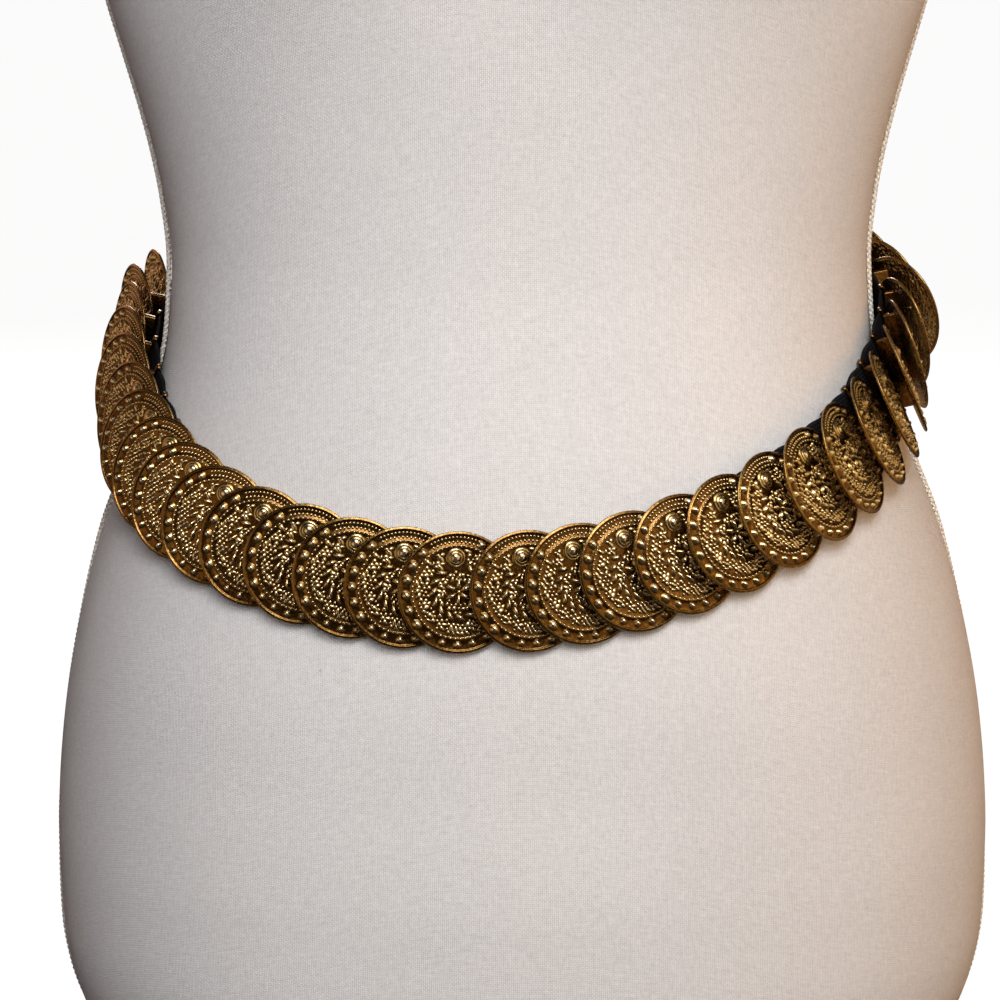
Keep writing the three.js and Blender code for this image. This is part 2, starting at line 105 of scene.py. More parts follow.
BEAD = {
    "ring": 17.1, "radius": 1.9, "height": 1.2, "spacing_deg": 17.14,
    "uneven": (0.95, 1.05), "sides": 12, "rings": 4,
}
LOW_BEADS = {"from_deg": 230, "to_deg": 310, "share": 0.82}
FAN_ARC = {"from_deg": 66.0, "to_deg": 122.0, "margin_deg": 2}
FAN_ROWS = [
    {"ring": 18.0, "radius": 0.58, "height": 0.42, "count": 14},
    {"ring": 16.5, "radius": 0.66, "height": 0.5, "count": 12},
]
BOSS = {"ring": 11.2, "turn_deg": 95.0, "radius": 3.5, "sink": 0.1, "tip": 0.08, "sides": 20}
# The boss's steps: each a share of its radius, a level over its base, and its wear with painted
# shade, darkest in the grooves between the steps.
BOSS_STEPS = [
    {"radius": 1.0, "level": 0.0, "wear_and_shade": 0.1},
    {"radius": 0.9, "level": 0.3, "wear_and_shade": 0.5},
    {"radius": 0.82, "level": 0.48, "wear_and_shade": 0.8},
    {"radius": 0.75, "level": 0.5, "wear_and_shade": 0.6},
    {"radius": 0.7, "level": 0.4, "wear_and_shade": 0.15},
    {"radius": 0.64, "level": 0.56, "wear_and_shade": 0.5},
    {"radius": 0.56, "level": 0.82, "wear_and_shade": 0.85},
    {"radius": 0.49, "level": 0.88, "wear_and_shade": 0.6},
    {"radius": 0.45, "level": 0.78, "wear_and_shade": 0.15},
    {"radius": 0.4, "level": 0.94, "wear_and_shade": 0.6},
    {"radius": 0.3, "level": 1.24, "wear_and_shade": 0.9},
    {"radius": 0.18, "level": 1.42, "wear_and_shade": 1.0},
]
# The field of grains: where they lie, how far they keep off the boss and the
# wreaths, and how their sizes vary.
GRAIN = {
    "pitch": 1.52, "row_share": 0.87, "jitter": 0.24, "field": 13.9,
    "boss_gap": 0.4, "wreath_gap": 1.45, "missing": 0.04,
    "radius": 0.92, "height": 0.64, "narrow": 0.92, "stretch": 1.05,
    "long_ones": 0.4, "long_stretch": (1.3, 2.0),
    "size_spread": (0.7, 1.2), "height_spread": (0.7, 1.25),
}
INNER_DOTS = {"ring": 15.15, "radius": 0.55, "height": 0.4, "count": 58}
SEED = {"long": 2.15, "wide": 1.0, "height": 1.1, "sway_deg": 8, "sides": 8, "rings": 3}
WREATHS = [
    {"ring": 8.3, "count": 15, "lean_deg": 52.0},
    {"ring": 2.6, "count": 6, "lean_deg": 0.0},
]

# A bracket's strip: its half width and thickness, how far it passes over and beside
# the elastic's middle, and its bend. Then the long foot that carries the plate.
BRACKET = {
    "half": 1.3, "strip": 0.45, "over": 1.35, "side": 16.55, "end": -0.1, "bend": 0.7, "flat": 9.0,
    "foot": 14.0, "foot_share": 0.85, "foot_corner": 0.4, "sink": 0.05, "into_plate": 0.25,
    # The bracket is dark brass, patina with painted shade as it lies behind the plate.
    "wear_and_shade": 0.1,
}
BEND_TURNS_DEG = [30, 60, 90]

# Each disc sits with a slight turn of its own.
SPIN_DEG = 2.5
SEEDS = {"face": 11, "spin": 5}

ELASTIC = {
    "half": 15.4, "ruche": 1.3, "ruche_power": 1.5, "pucker": 0.16,
    "thickness": 1.1, "steps": 10, "start": -1.7, "stop": -14.0,
}
# A quarter of the elastic's section: shares of its half width and half thickness.
ELASTIC_QUARTER = [(0.0, 1), (0.55, 1), (0.9, 0.95), (0.985, 0.7), (1.0, 0.0)]

GIMP = {
    "strands": 3, "sway": 1.05, "lift": 0.42, "sink": 0.15,
    "strand": 0.58, "period": 5.6, "steps": 12, "sides": 6,
}


# ---------------------------------------------------------------------------
# Helpers: numbers
# ---------------------------------------------------------------------------

def node_points(name):
    """The different corners of a CAD node, in metres."""
    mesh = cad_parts[name].data
    flat = np.empty(len(mesh.vertices) * 3)
    mesh.vertices.foreach_get("co", flat)
    return np.unique(flat.reshape(-1, 3).round(6), axis=0)


def unit(vectors):
    return vectors / np.linalg.norm(vectors, axis=-1, keepdims=True)


def cubic(knots, rows, slope, samples):
    """Rows with a slope at each knot, read off at the samples."""
    at = np.clip(np.searchsorted(knots, samples, side="right") - 1, 0, len(knots) - 2)
    width = np.diff(knots)[at].reshape((-1,) + (1,) * (rows.ndim - 1))
    t = (samples - knots[at]).reshape(width.shape) / width
    back = 1 - t
    return (
        rows[at] * (1 + 2 * t) * back**2
        + slope[at] * width * t * back**2
        + rows[at + 1] * t**2 * (3 - 2 * t)
        - slope[at + 1] * width * t**2 * back
    )


def smooth_through(knots, rows, samples):
    """Rows of numbers given at the knots, read off at the samples with no overshoot."""
    rows = np.asarray(rows, float)
    step = np.diff(knots).reshape((-1,) + (1,) * (rows.ndim - 1))
    rise = np.diff(rows, axis=0) / step
    slope = np.concatenate([rise[:1], np.zeros_like(rise[1:]), rise[-1:]])
    before = 2 * step[1:] + step[:-1]
    after = step[1:] + 2 * step[:-1]
    same_way = rise[:-1] * rise[1:] > 0
    first = np.where(same_way, rise[:-1], 1)
    second = np.where(same_way, rise[1:], 1)
    slope[1:-1] = np.where(same_way, (before + after) / (before / first + after / second), 0)
    return cubic(knots, rows, slope, samples)


# ---------------------------------------------------------------------------
# Helpers: meshes
# ---------------------------------------------------------------------------

def grid_faces(rings, sides):
    """Quads of a skin over closed rings of points, each with the same number of sides."""
    ring = np.arange(rings - 1)[:, None] * sides
    side = np.arange(sides)[None, :]
    ahead = (side + 1) % sides
    corners = [ring + side, ring + ahead, ring + ahead + sides, ring + side + sides]
    return np.stack(corners, -1).reshape(-1, 4)


def end_faces(rings, sides, start=0):
    """The flat ends of a skin over rings of points, the first of them numbered start."""
    stop = start + rings * sides
    return [list(range(start + sides - 1, start - 1, -1)), list(range(stop - sides, stop))]


def tip_faces(start, sides, tip):
    """Triangles from a ring of points, the first of them numbered start, up to a tip."""
    return [[start + side, start + (side + 1) % sides, tip] for side in range(sides)]


def round_turns(sides):
    """Even turns once round, in radians."""
    return np.arange(sides) / sides * 2 * np.pi


class Shape:
    """Meshes joined from arrays, with one number of wear and painted shade for each point."""

    def __init__(self):
        self.points = []
        self.wear_and_shade = []
        self.faces = []
        self.count = 0

    def add(self, points, faces, wear_and_shade):
        points = np.asarray(points, float).reshape(-1, 3)
        self.points.append(points)
        self.wear_and_shade.append(np.broadcast_to(np.asarray(wear_and_shade, float), len(points)))
        self.faces += [[int(i) + self.count for i in face] for face in faces]
        self.count += len(points)

    def all_points(self):
        return np.concatenate(self.points)


def make_object(name, points, faces, material, marks=None, corner_uv=None):
    """A smooth-shaded mesh object from arrays in metres, with named marks on its points."""
    mesh = bpy.data.meshes.new(name)
    mesh.from_pydata(np.asarray(points).tolist(), [], [list(face) for face in faces])
    mesh.materials.append(material)
    mesh.polygons.foreach_set("use_smooth", np.ones(len(mesh.polygons), bool))
    for key, values in (marks or {}).items():
        layer = mesh.attributes.new(key, "FLOAT", "POINT")
        layer.data.foreach_set("value", np.asarray(values, np.float32))
    if corner_uv is not None:
        layer = mesh.uv_layers.new(name="cloth")
        layer.data.foreach_set("uv", np.asarray(corner_uv, np.float32).reshape(-1))
    mesh.update()
    obj = bpy.data.objects.new(name, mesh)
    bpy.context.scene.collection.objects.link(obj)
    return obj


def hand_over(obj, slot, *nodes):
    """The piece stands for its CAD nodes and rides where they do."""
    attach(obj, "root")
    if nodes:
        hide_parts(*nodes)
    return obj


# ---------------------------------------------------------------------------
# Helpers: materials
# ---------------------------------------------------------------------------

class Finish:
    """A material whose nodes are added by short calls."""

    def __init__(self, name, **surface):
        self.material = bpy.data.materials.new(name)
        self.material.use_nodes = True
        self.tree = self.material.node_tree
        self.surface = self.tree.nodes["Principled BSDF"]
        for key, value in surface.items():
            self.surface.inputs[key.replace("_", " ")].default_value = value

    def feed(self, socket, value):
        if isinstance(value, bpy.types.NodeSocket):
            self.tree.links.new(value, socket)
        else:
            socket.default_value = value

    def node(self, kind, inputs=(), **settings):
        node = self.tree.nodes.new(kind)
        for key, value in settings.items():
            setattr(node, key, value)
        for key, value in dict(inputs).items():
            self.feed(node.inputs[key], value)
        return node

    def math(self, operation, first, second=0.0):
        return self.node("ShaderNodeMath", {0: first, 1: second}, operation=operation).outputs[0]

    def total(self, *weighted):
        """The sum of some values, each times its weight."""
        parts = [self.math("MULTIPLY", value, weight) for value, weight in weighted]
        whole = parts[0]
        for part in parts[1:]:
            whole = self.math("ADD", whole, part)
        return whole

    def stretched(self, coordinates, scale):
        return self.node("ShaderNodeMapping", {"Vector": coordinates, "Scale": scale}).outputs[0]

    def noise(self, coordinates, scale, detail=2.0, roughness=0.5):
        values = {"Vector": coordinates, "Scale": scale, "Detail": detail, "Roughness": roughness}
        return self.node("ShaderNodeTexNoise", values).outputs["Fac"]

    def cells(self, coordinates, scale, **settings):
        """How far each point is from the middle of its cell."""
        values = {"Vector": coordinates, "Scale": scale}
        return self.node("ShaderNodeTexVoronoi", values, **settings).outputs["Distance"]

    def span(self, value, low, high, to_low=0.0, to_high=1.0):
        values = {0: value, 1: low, 2: high, 3: to_low, 4: to_high}
        return self.node("ShaderNodeMapRange", values).outputs[0]

    def ramp(self, value, stops):
        node = self.node("ShaderNodeValToRGB", {"Fac": value})
        ramp = node.color_ramp
        while len(ramp.elements) < len(stops):
            ramp.elements.new(0.5)
        for element, (position, color) in zip(ramp.elements, stops):
            element.position = position
            element.color = (*color, 1)
        return node.outputs["Color"]

    def mixed(self, factor, first, second):
        node = self.node("ShaderNodeMix", data_type="RGBA")
        self.feed(node.inputs["Factor"], factor)
        self.feed(node.inputs[6], first)
        self.feed(node.inputs[7], second)
        return node.outputs[2]

    def bump(self, height, strength, distance, normal=None):
        values = {"Height": height, "Strength": strength, "Distance": distance}
        if normal is not None:
            values["Normal"] = normal
        return self.node("ShaderNodeBump", values).outputs["Normal"]

    def set(self, **values):
        for key, value in values.items():
            self.feed(self.surface.inputs[key.replace("_", " ")], value)
        return self.material


LINEN_TONES = [
    (0.0, (0.56, 0.53, 0.51)),
    (0.5, (0.76, 0.735, 0.71)),
    (1.0, (0.92, 0.90, 0.87)),
]
LINEN_WEIGHTS = {"slub": 0.26, "weave": 0.42, "mottle": 0.3, "soft": 0.14}
LINEN_SPECKS = {"scale": 60.0, "rarity": 0.86, "core": 0.02, "rim": 0.045, "depth": 0.35}
SPECK_COLOR = (0.25, 0.21, 0.19, 1)


def linen_finish():
    """Plain woven ivory linen with uneven threads, slubs and a few dark specks."""
    finish = Finish("ivory_linen", Sheen_Weight=0.15, Sheen_Roughness=0.5, Specular_IOR_Level=0.25)
    cloth = finish.node("ShaderNodeUVMap", uv_map="cloth").outputs["UV"]
    place = finish.node("ShaderNodeTexCoord").outputs["Object"]
    split = finish.node("ShaderNodeSeparateXYZ", {0: cloth})
    wave = math.pi / (FORM["weave_pitch"] * MM)
    drift = finish.span(finish.noise(cloth, 150.0, 1.0), 0, 1, -1.4, 1.4)
    across, along = [
        finish.math("SINE", finish.math("ADD", finish.math("MULTIPLY", way, wave), drift))
        for way in split.outputs[:2]
    ]
    over = finish.math("MULTIPLY", across, along)
    warp_over = finish.span(over, -1, 1, 0.15, 1)
    weft_over = finish.span(over, -1, 1, 0.7, 0.15)
    warp = finish.math("MULTIPLY", finish.math("ABSOLUTE", across), warp_over)
    weft = finish.math("MULTIPLY", finish.math("ABSOLUTE", along), weft_over)
    weave = finish.math("MAXIMUM", warp, weft)
    warp_slub = finish.noise(finish.stretched(cloth, (1.0, 0.3, 1.0)), 900.0, 2.0)
    weft_slub = finish.noise(finish.stretched(cloth, (0.25, 1.0, 1.0)), 900.0, 2.0)
    slub = finish.math("ADD", warp_slub, weft_slub)
    soft = finish.noise(place, 14.0, 3.0)
    mottle = finish.noise(place, 900.0, 3.0, 0.65)
    parts = {"slub": slub, "weave": weave, "mottle": mottle, "soft": soft}
    tone = finish.total(*[(parts[key], weight) for key, weight in LINEN_WEIGHTS.items()])
    cover = finish.ramp(finish.span(tone, 0.4, 1.05), LINEN_TONES)
    cells = finish.node("ShaderNodeTexVoronoi", {"Vector": place, "Scale": LINEN_SPECKS["scale"]})
    chance = finish.node("ShaderNodeSeparateColor", {0: cells.outputs["Color"]}).outputs[0]
    rare = finish.math("GREATER_THAN", chance, LINEN_SPECKS["rarity"])
    dot = finish.span(cells.outputs["Distance"], LINEN_SPECKS["core"], LINEN_SPECKS["rim"], 1, 0)
    speck = finish.math("MULTIPLY", rare, dot)
    cover = finish.mixed(finish.math("MULTIPLY", speck, LINEN_SPECKS["depth"]), cover, SPECK_COLOR)
    relief = finish.math("ADD", weave, finish.math("MULTIPLY", slub, 0.9))
    normal = finish.bump(relief, 0.6, 0.00025)
    normal = finish.bump(soft, 0.25, 0.0012, normal)
    rough = finish.span(weave, 0, 1, 0.95, 0.82)
    return finish.set(Base_Color=cover, Roughness=rough, Normal=normal)


GIMP_TONES = [
    (0.0, (0.62, 0.53, 0.42)),
    (0.45, (0.90, 0.83, 0.72)),
    (1.0, (1.0, 0.96, 0.88)),
]
# Yarns round a strand, and the length in millimetres of one yarn's turn.
GIMP_TWIST = {"yarns": 3, "turn": 1.1}


def gimp_finish():
    """Cream cotton cord, with the twist of its yarns along each strand."""
    finish = Finish("cream_gimp", Sheen_Weight=0.3, Sheen_Roughness=0.4)
    cloth = finish.node("ShaderNodeUVMap", uv_map="cloth").outputs["UV"]
    split = finish.node("ShaderNodeSeparateXYZ", {0: cloth})
    round_turn = 2 * math.pi * GIMP_TWIST["yarns"]
    along_turn = 2 * math.pi / (GIMP_TWIST["turn"] * MM)
    lay = finish.total((split.outputs[0], round_turn), (split.outputs[1], along_turn))
    twist = finish.span(finish.math("SINE", lay), -1, 1)
    soil = finish.noise(cloth, 60.0, 3.0)
    color = finish.ramp(finish.total((twist, 0.6), (soil, 0.5)), GIMP_TONES)
    rough = finish.span(twist, 0, 1, 0.95, 0.75)
    return finish.set(Base_Color=color, Roughness=rough, Normal=finish.bump(twist, 0.8, 0.0002))


ELASTIC_TONES = [
    (0.0, (0.0015, 0.0014, 0.0016)),
    (0.6, (0.006, 0.0055, 0.006)),
    (1.0, (0.018, 0.017, 0.018)),
]
# Widths in millimetres of a cord and of a thread of the cross weave.
ELASTIC_WEAVE = {"rib": 1.3, "pick": 0.5}


def elastic_finish():
    """Black ribbed elastic: fine cords along its length with a cross weave."""
    finish = Finish("black_elastic", Specular_IOR_Level=0.12)
    cloth = finish.node("ShaderNodeUVMap", uv_map="cloth").outputs["UV"]
    split = finish.node("ShaderNodeSeparateXYZ", {0: cloth})
    rib_turn = finish.math("MULTIPLY", split.outputs[1], math.pi / (ELASTIC_WEAVE["rib"] * MM))
    pick_turn = finish.math("MULTIPLY", split.outputs[0], math.pi / (ELASTIC_WEAVE["pick"] * MM))
    rib = finish.math("ABSOLUTE", finish.math("SINE", rib_turn))
    pick = finish.math("ABSOLUTE", finish.math("SINE", pick_turn))
    relief = finish.math("ADD", rib, finish.math("MULTIPLY", pick, 0.4))
    dust = finish.noise(cloth, 700.0, 3.0)
    color = finish.ramp(finish.total((relief, 0.4), (dust, 0.5)), ELASTIC_TONES)
    rough = finish.span(relief, 0, 1.4, 0.98, 0.8)
    return finish.set(Base_Color=color, Roughness=rough, Normal=finish.bump(relief, 0.8, 0.00025))


BRASS_TONES = [
    (0.04, (0.145, 0.066, 0.015)),
    (0.3, (0.31, 0.195, 0.062)),
    (0.6, (0.48, 0.35, 0.145)),
    (0.95, (0.84, 0.74, 0.55)),
]
BRASS_SCALES = {"cloud": 60.0, "grit": 1100.0, "pits": 950.0, "stamps": 690.0}
# How far noise moves the wear and painted shade up or down, and how far grit moves the roughness.
WEAR_SWAY = 0.06
ROUGH_SWAY = 0.05


def brass_finish():
    """Antique brass: red-brown patina and painted shade in the hollows, bright with wear on the
    raised work, painted light on the backs.
    """
    finish = Finish("antique_brass", Metallic=1.0, Coat_Weight=0.1, Coat_Roughness=0.25)
    wear_and_shade = finish.node("ShaderNodeAttribute", attribute_name="wear_and_shade").outputs["Fac"]
    place = finish.node("ShaderNodeTexCoord").outputs["Object"]
    cloud = finish.noise(place, BRASS_SCALES["cloud"], 4.0, 0.6)
    grit = finish.noise(place, BRASS_SCALES["grit"], 3.0, 0.6)
    pits = finish.cells(place, BRASS_SCALES["pits"], feature="SMOOTH_F1")
    hollow = finish.span(wear_and_shade, 0.12, 0.5, 1, 0)
    # The tone starts from each point's wear with painted shade; noise and pits then move it.
    wear_and_painted_light = finish.math("ADD", wear_and_shade, finish.span(cloud, 0.3, 0.7, -WEAR_SWAY, WEAR_SWAY))
    wear_and_painted_light = finish.math("ADD", wear_and_painted_light, finish.span(grit, 0.3, 0.7, -WEAR_SWAY, WEAR_SWAY))
    crumb = finish.math("MULTIPLY", hollow, finish.span(pits, 0.1, 0.5, 0.12, -0.05))
    wear_and_painted_light = finish.math("ADD", wear_and_painted_light, crumb)
    behind = finish.node("ShaderNodeAttribute", attribute_name="behind").outputs["Fac"]
    stamps = finish.cells(place, BRASS_SCALES["stamps"])
    # Painted light on the backs: each is brightened, least in the stamped dimples and most on the
    # ridges between them.
    specks = finish.span(stamps, 0.15, 0.6, 0.46, 1.0)
    wear_and_painted_light = finish.math("ADD", wear_and_painted_light, finish.math("MULTIPLY", behind, specks))
    color = finish.ramp(wear_and_painted_light, BRASS_TONES)
    polish = finish.span(wear_and_painted_light, 0.1, 0.95, 0.28, 0.23)
    rough = finish.math("ADD", polish, finish.span(grit, 0.3, 0.7, -ROUGH_SWAY, ROUGH_SWAY))
    normal = finish.bump(finish.math("MULTIPLY", hollow, pits), 0.3, -0.0003)
    normal = finish.bump(finish.math("MULTIPLY", behind, stamps), 0.9, 0.0006, normal)
    normal = finish.bump(grit, 0.16, 0.0001, normal)
    normal = finish.bump(cloud, 0.08, 0.0008, normal)
    return finish.set(Base_Color=color, Roughness=rough, Normal=normal)


# ---------------------------------------------------------------------------
# Dress form
# ---------------------------------------------------------------------------

def form_rings():
    """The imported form's rings, from its base up, each from the front round to the right."""
    points = node_points("form_torso")
    levels = np.unique(points[:, 2])
    rings = []
    for level in levels:
        ring = points[points[:, 2] == level]
        centre = ring.mean(0)
        turn = np.arctan2(ring[:, 0] - centre[0], centre[1] - ring[:, 1])
        rings.append(ring[np.argsort((turn + FRONT_TURN) % (2 * np.pi))])
    return np.array(rings)


def finer_round(rings, sides):
    """The same rings with more sides, on the smooth curve through their corners."""
    have = rings.shape[1]
    return np.fft.irfft(np.fft.rfft(rings, axis=1), n=sides, axis=1) * sides / have


def form_surface():
    """Rings of the form at even steps up its side."""
    rings = finer_round(form_rings(), FORM["sides"])
    chord = np.linalg.norm(np.diff(rings, axis=0), axis=2).mean(1)
    knots = np.concatenate([[0], np.cumsum(chord)])
    count = int(knots[-1] / (FORM["ring_step"] * MM))
    return smooth_through(knots, rings, np.linspace(0, knots[-1], count))


def with_caps(side_rings):
    """Closes the skin with flat rings that run in to the middle of both ends."""
    ends = []
    for rim in (side_rings[0], side_rings[-1]):
        centre = rim.mean(0)
        ends.append([centre + (rim - centre) * share for share in CAP_SHARES])
    return np.array(ends[0] + list(side_rings) + ends[1][::-1])


def panel_uv(rings, faces):
    """Cloth coordinates in metres, measured from the middle of the front and back panels."""
    count, sides = rings.shape[:2]
    step = np.linalg.norm(np.roll(rings, -1, axis=1) - rings, axis=2)
    around = np.concatenate([np.zeros((count, 1)), np.cumsum(step, axis=1)], axis=1)
    rise = np.linalg.norm(np.diff(rings, axis=0), axis=2)
    up = np.concatenate([np.zeros((1, sides)), np.cumsum(rise, axis=0)])
    ring = faces // sides
    side = faces % sides
    first = side[:, :1]
    unwrapped = np.where(side < first, side + sides, side)
    quarter = sides // 4
    back = (first >= quarter) & (first < 3 * quarter)
    left = first >= 3 * quarter
    across = around[ring, unwrapped]
    middle = np.where(back, around[ring, 2 * quarter], np.where(left, around[ring, sides], 0))
    across = across - middle + back * FORM["back_shift"] * MM
    return np.stack([across, up[ring, side]], -1)


def make_form(material):
    """The form's cover, smooth from base to neck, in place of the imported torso."""
    rings = with_caps(form_surface())
    count, sides = rings.shape[:2]
    skin = grid_faces(count, sides)
    faces = [*skin, *end_faces(count, sides)]
    uv = np.concatenate([panel_uv(rings, skin).reshape(-1, 2), np.zeros((2 * sides, 2))])
    obj = make_object("linen_form", rings.reshape(-1, 3), faces, material, corner_uv=uv)
    return hand_over(obj, "linen", "form_torso")


# ---------------------------------------------------------------------------
# Plaited gimp over the side seams
# ---------------------------------------------------------------------------

def seam_path(node):
    """Points and outward directions down the middle of a packed braid's foot."""
    points = node_points(node)
    rows = points[np.argsort(points[:, 2])].reshape(-1, 4, 3)
    feet = []
    outs = []
    for row in rows:
        reach = np.argsort(np.hypot(row[:, 0], row[:, 1]))
        foot = row[reach[:2]].mean(0)
        feet.append(foot)
        outs.append(row[reach[2:]].mean(0) - foot)
    return np.array(feet), unit(np.array(outs))


def tube(path, side, out, radius, sides):
    """Rings of points round a path."""
    turn = round_turns(sides)
    ring = np.cos(turn)[None, :, None] * side[:, None] + np.sin(turn)[None, :, None] * out[:, None]
    return path[:, None] + radius * ring


def make_gimp(name, node, material):
    """Strands that sway and lift in turn, so that they cross as in a plait."""
    feet, outs = seam_path(node)
    knots = np.concatenate([[0], np.cumsum(np.linalg.norm(np.diff(feet, axis=0), axis=1))])
    periods = int(knots[-1] / (GIMP["period"] * MM))
    count = periods * GIMP["steps"] + 1
    at = np.linspace(0, knots[-1], count)
    foot = smooth_through(knots, feet, at)
    out = unit(smooth_through(knots, outs, at))
    along = unit(np.gradient(foot, axis=0))
    across = np.cross(along, out)
    points = []
    faces = []
    uvs = []
    sides = GIMP["sides"]
    strand_faces = grid_faces(count, sides)
    for strand in range(GIMP["strands"]):
        phase = at / at[-1] * periods * 2 * np.pi + strand * 2 * np.pi / GIMP["strands"]
        sway = np.sin(phase)[:, None] * GIMP["sway"] * MM
        lift = (np.sin(2 * phase)[:, None] * GIMP["lift"] + GIMP["lift"] + GIMP["strand"]) * MM
        path = foot + across * sway + out * (lift - GIMP["sink"] * MM)
        ahead = unit(np.gradient(path, axis=0))
        side = unit(np.cross(ahead, out))
        top = np.cross(side, ahead)
        rings = tube(path, side, top, GIMP["strand"] * MM, sides)
        start = strand * count * sides
        points.append(rings.reshape(-1, 3))
        faces += [*(strand_faces + start), *end_faces(count, sides, start)]
        ring = strand_faces // sides
        turn = strand_faces % sides
        turn = np.where((turn == 0) & (turn[:, :1] == sides - 1), sides, turn)
        uvs.append(np.stack([turn / sides, at[ring]], -1).reshape(-1, 2))
        uvs.append(np.zeros((2 * sides, 2)))
    obj = make_object(name, np.concatenate(points), faces, material, corner_uv=np.concatenate(uvs))
    hand_over(obj, "braid", node)


# ---------------------------------------------------------------------------
# Where each packed disc lies
# ---------------------------------------------------------------------------

def framed(points, along, up, out, lift):
    """A place in the middle of some points, lifted so many millimetres off the lowest."""
    axes = np.array([along, up, out])
    reach = points @ axes.T
    centre = (reach.min(0) + reach.max(0)) / 2
    centre[2] = reach[:, 2].min() + lift * MM
    return {"middle": centre @ axes, "along": along, "up": up, "out": out}


def disc_places(name):
    """A disc's plate and its bracket: each a middle with directions along, up and out.

    The plate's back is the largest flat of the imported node, and the two sides
    of the bracket are the next."""
    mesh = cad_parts[name].data
    count = len(mesh.polygons)
    spots = np.empty(len(mesh.vertices) * 3)
    normals = np.empty(count * 3)
    areas = np.empty(count)
    mesh.vertices.foreach_get("co", spots)
    mesh.polygons.foreach_get("normal", normals)
    mesh.polygons.foreach_get("area", areas)
    spots = spots.reshape(-1, 3)
    normals = normals.reshape(-1, 3)
    corners = np.array([face.vertices[:] for face in mesh.polygons])
    same_way = math.cos(math.radians(SAME_FACE_DEG))
    flat_area = (normals @ normals.T > same_way) @ areas
    out = -normals[np.argmax(flat_area)]
    side = normals[np.argmax(np.where(np.abs(normals @ out) < SIDE_SLANT, flat_area, 0))]
    along = side * np.sign(side @ out)
    up = unit(np.cross(out, along))
    back = spots[np.unique(corners[normals @ out < -same_way])]
    sides = spots[np.unique(corners[np.abs(normals @ along) > same_way])]
    plate = framed(back, np.cross(up, out), up, out, -PLATE_BACK_LEVEL)
    bracket = framed(sides, along, up, np.cross(along, up), TAB_REACH)
    return plate, bracket


def placed(points, place):
    """Points in millimetres, along, up and out of a place, as points in metres."""
    axes = np.array([place["along"], place["up"], place["out"]])
    return place["middle"] + (np.asarray(points, float) * MM) @ axes


# ---------------------------------------------------------------------------
# The stamped face of a disc, in millimetres
# ---------------------------------------------------------------------------

def ground_level(radius):
    rows = GROUND[::-1]
    return float(np.interp(radius, [row["radius"] for row in rows], [row["level"] for row in rows]))


def polar(radius, degrees):
    angle = np.radians(degrees)
    return np.array([radius * np.cos(angle), radius * np.sin(angle)])


def dome(shape, spot, long, wide, height, lean=0.0, sides=6, rings=2):
    """A small pressed dome, round or long, whose foot runs out into the ground."""
    reach = np.linspace(1, 0, rings + 1)[:-1]
    rise = 0.5 + 0.5 * np.cos(np.pi * reach ** DOME["flank"])
    turn = round_turns(sides)
    x = (reach[:, None] * np.cos(turn) * long).ravel()
    y = (reach[:, None] * np.sin(turn) * wide).ravel()
    z = np.repeat(rise * height, sides)
    base = ground_level(float(np.hypot(*spot))) - DOME["sink"]
    cos, sin = math.cos(lean), math.sin(lean)
    points = np.stack([spot[0] + x * cos - y * sin, spot[1] + x * sin + y * cos, base + z], -1)
    apex = [spot[0], spot[1], base + height]
    faces = [*grid_faces(rings, sides), *tip_faces((rings - 1) * sides, sides, rings * sides)]
    # Darker towards the foot, patina with painted shade, and bright with wear at the top.
    wear_shade_rise = np.append(np.repeat(rise ** DOME["wear_shade_power"], sides), 1.0)
    wear_and_shade = DOME["foot_wear_and_shade"] + (1 - DOME["foot_wear_and_shade"]) * wear_shade_rise
    shape.add(np.vstack([points, apex]), faces, wear_and_shade)


def in_fan(degrees):
    return FAN_ARC["from_deg"] < degrees % 360 < FAN_ARC["to_deg"]


def add_ground(shape):
    """The turned plate itself, its back first."""
    turn = round_turns(GROUND_SIDES)
    rows = BACK[::-1] + GROUND
    points = [
        [row["radius"] * math.cos(a), row["radius"] * math.sin(a), row["level"]]
        for row in rows for a in turn
    ]
    wear_and_shade = [row["wear_and_shade"] for row in rows for _ in turn]
    faces = [*grid_faces(len(rows), GROUND_SIDES), *end_faces(len(rows), GROUND_SIDES)]
    shape.add(points, faces, wear_and_shade)


def add_beads(shape, random):
    """Large beads round the edge, smaller low down."""
    count = round(360 / BEAD["spacing_deg"])
    for order in range(count):
        degrees = 90 + (order + 0.5) * 360 / count
        if in_fan(degrees):
            continue
        low = LOW_BEADS["from_deg"] < degrees % 360 < LOW_BEADS["to_deg"]
        share = LOW_BEADS["share"] if low else 1
        radius = BEAD["radius"] * share * random.uniform(*BEAD["uneven"])
        dome(shape, polar(BEAD["ring"], degrees), radius, radius, BEAD["height"],
             sides=BEAD["sides"], rings=BEAD["rings"])


def add_fan(shape):
    """Rows of small dots that follow the edge over the boss."""
    first = FAN_ARC["from_deg"] + FAN_ARC["margin_deg"]
    last = FAN_ARC["to_deg"] - FAN_ARC["margin_deg"]
    for row in FAN_ROWS:
        for degrees in np.linspace(first, last, row["count"]):
            dome(shape, polar(row["ring"], degrees), row["radius"], row["radius"], row["height"])


def add_inner_dots(shape):
    """A ring of fine dots between the beads and the field."""
    for order in range(INNER_DOTS["count"]):
        spot = polar(INNER_DOTS["ring"], order * 360 / INNER_DOTS["count"])
        dome(shape, spot, INNER_DOTS["radius"], INNER_DOTS["radius"], INNER_DOTS["height"])


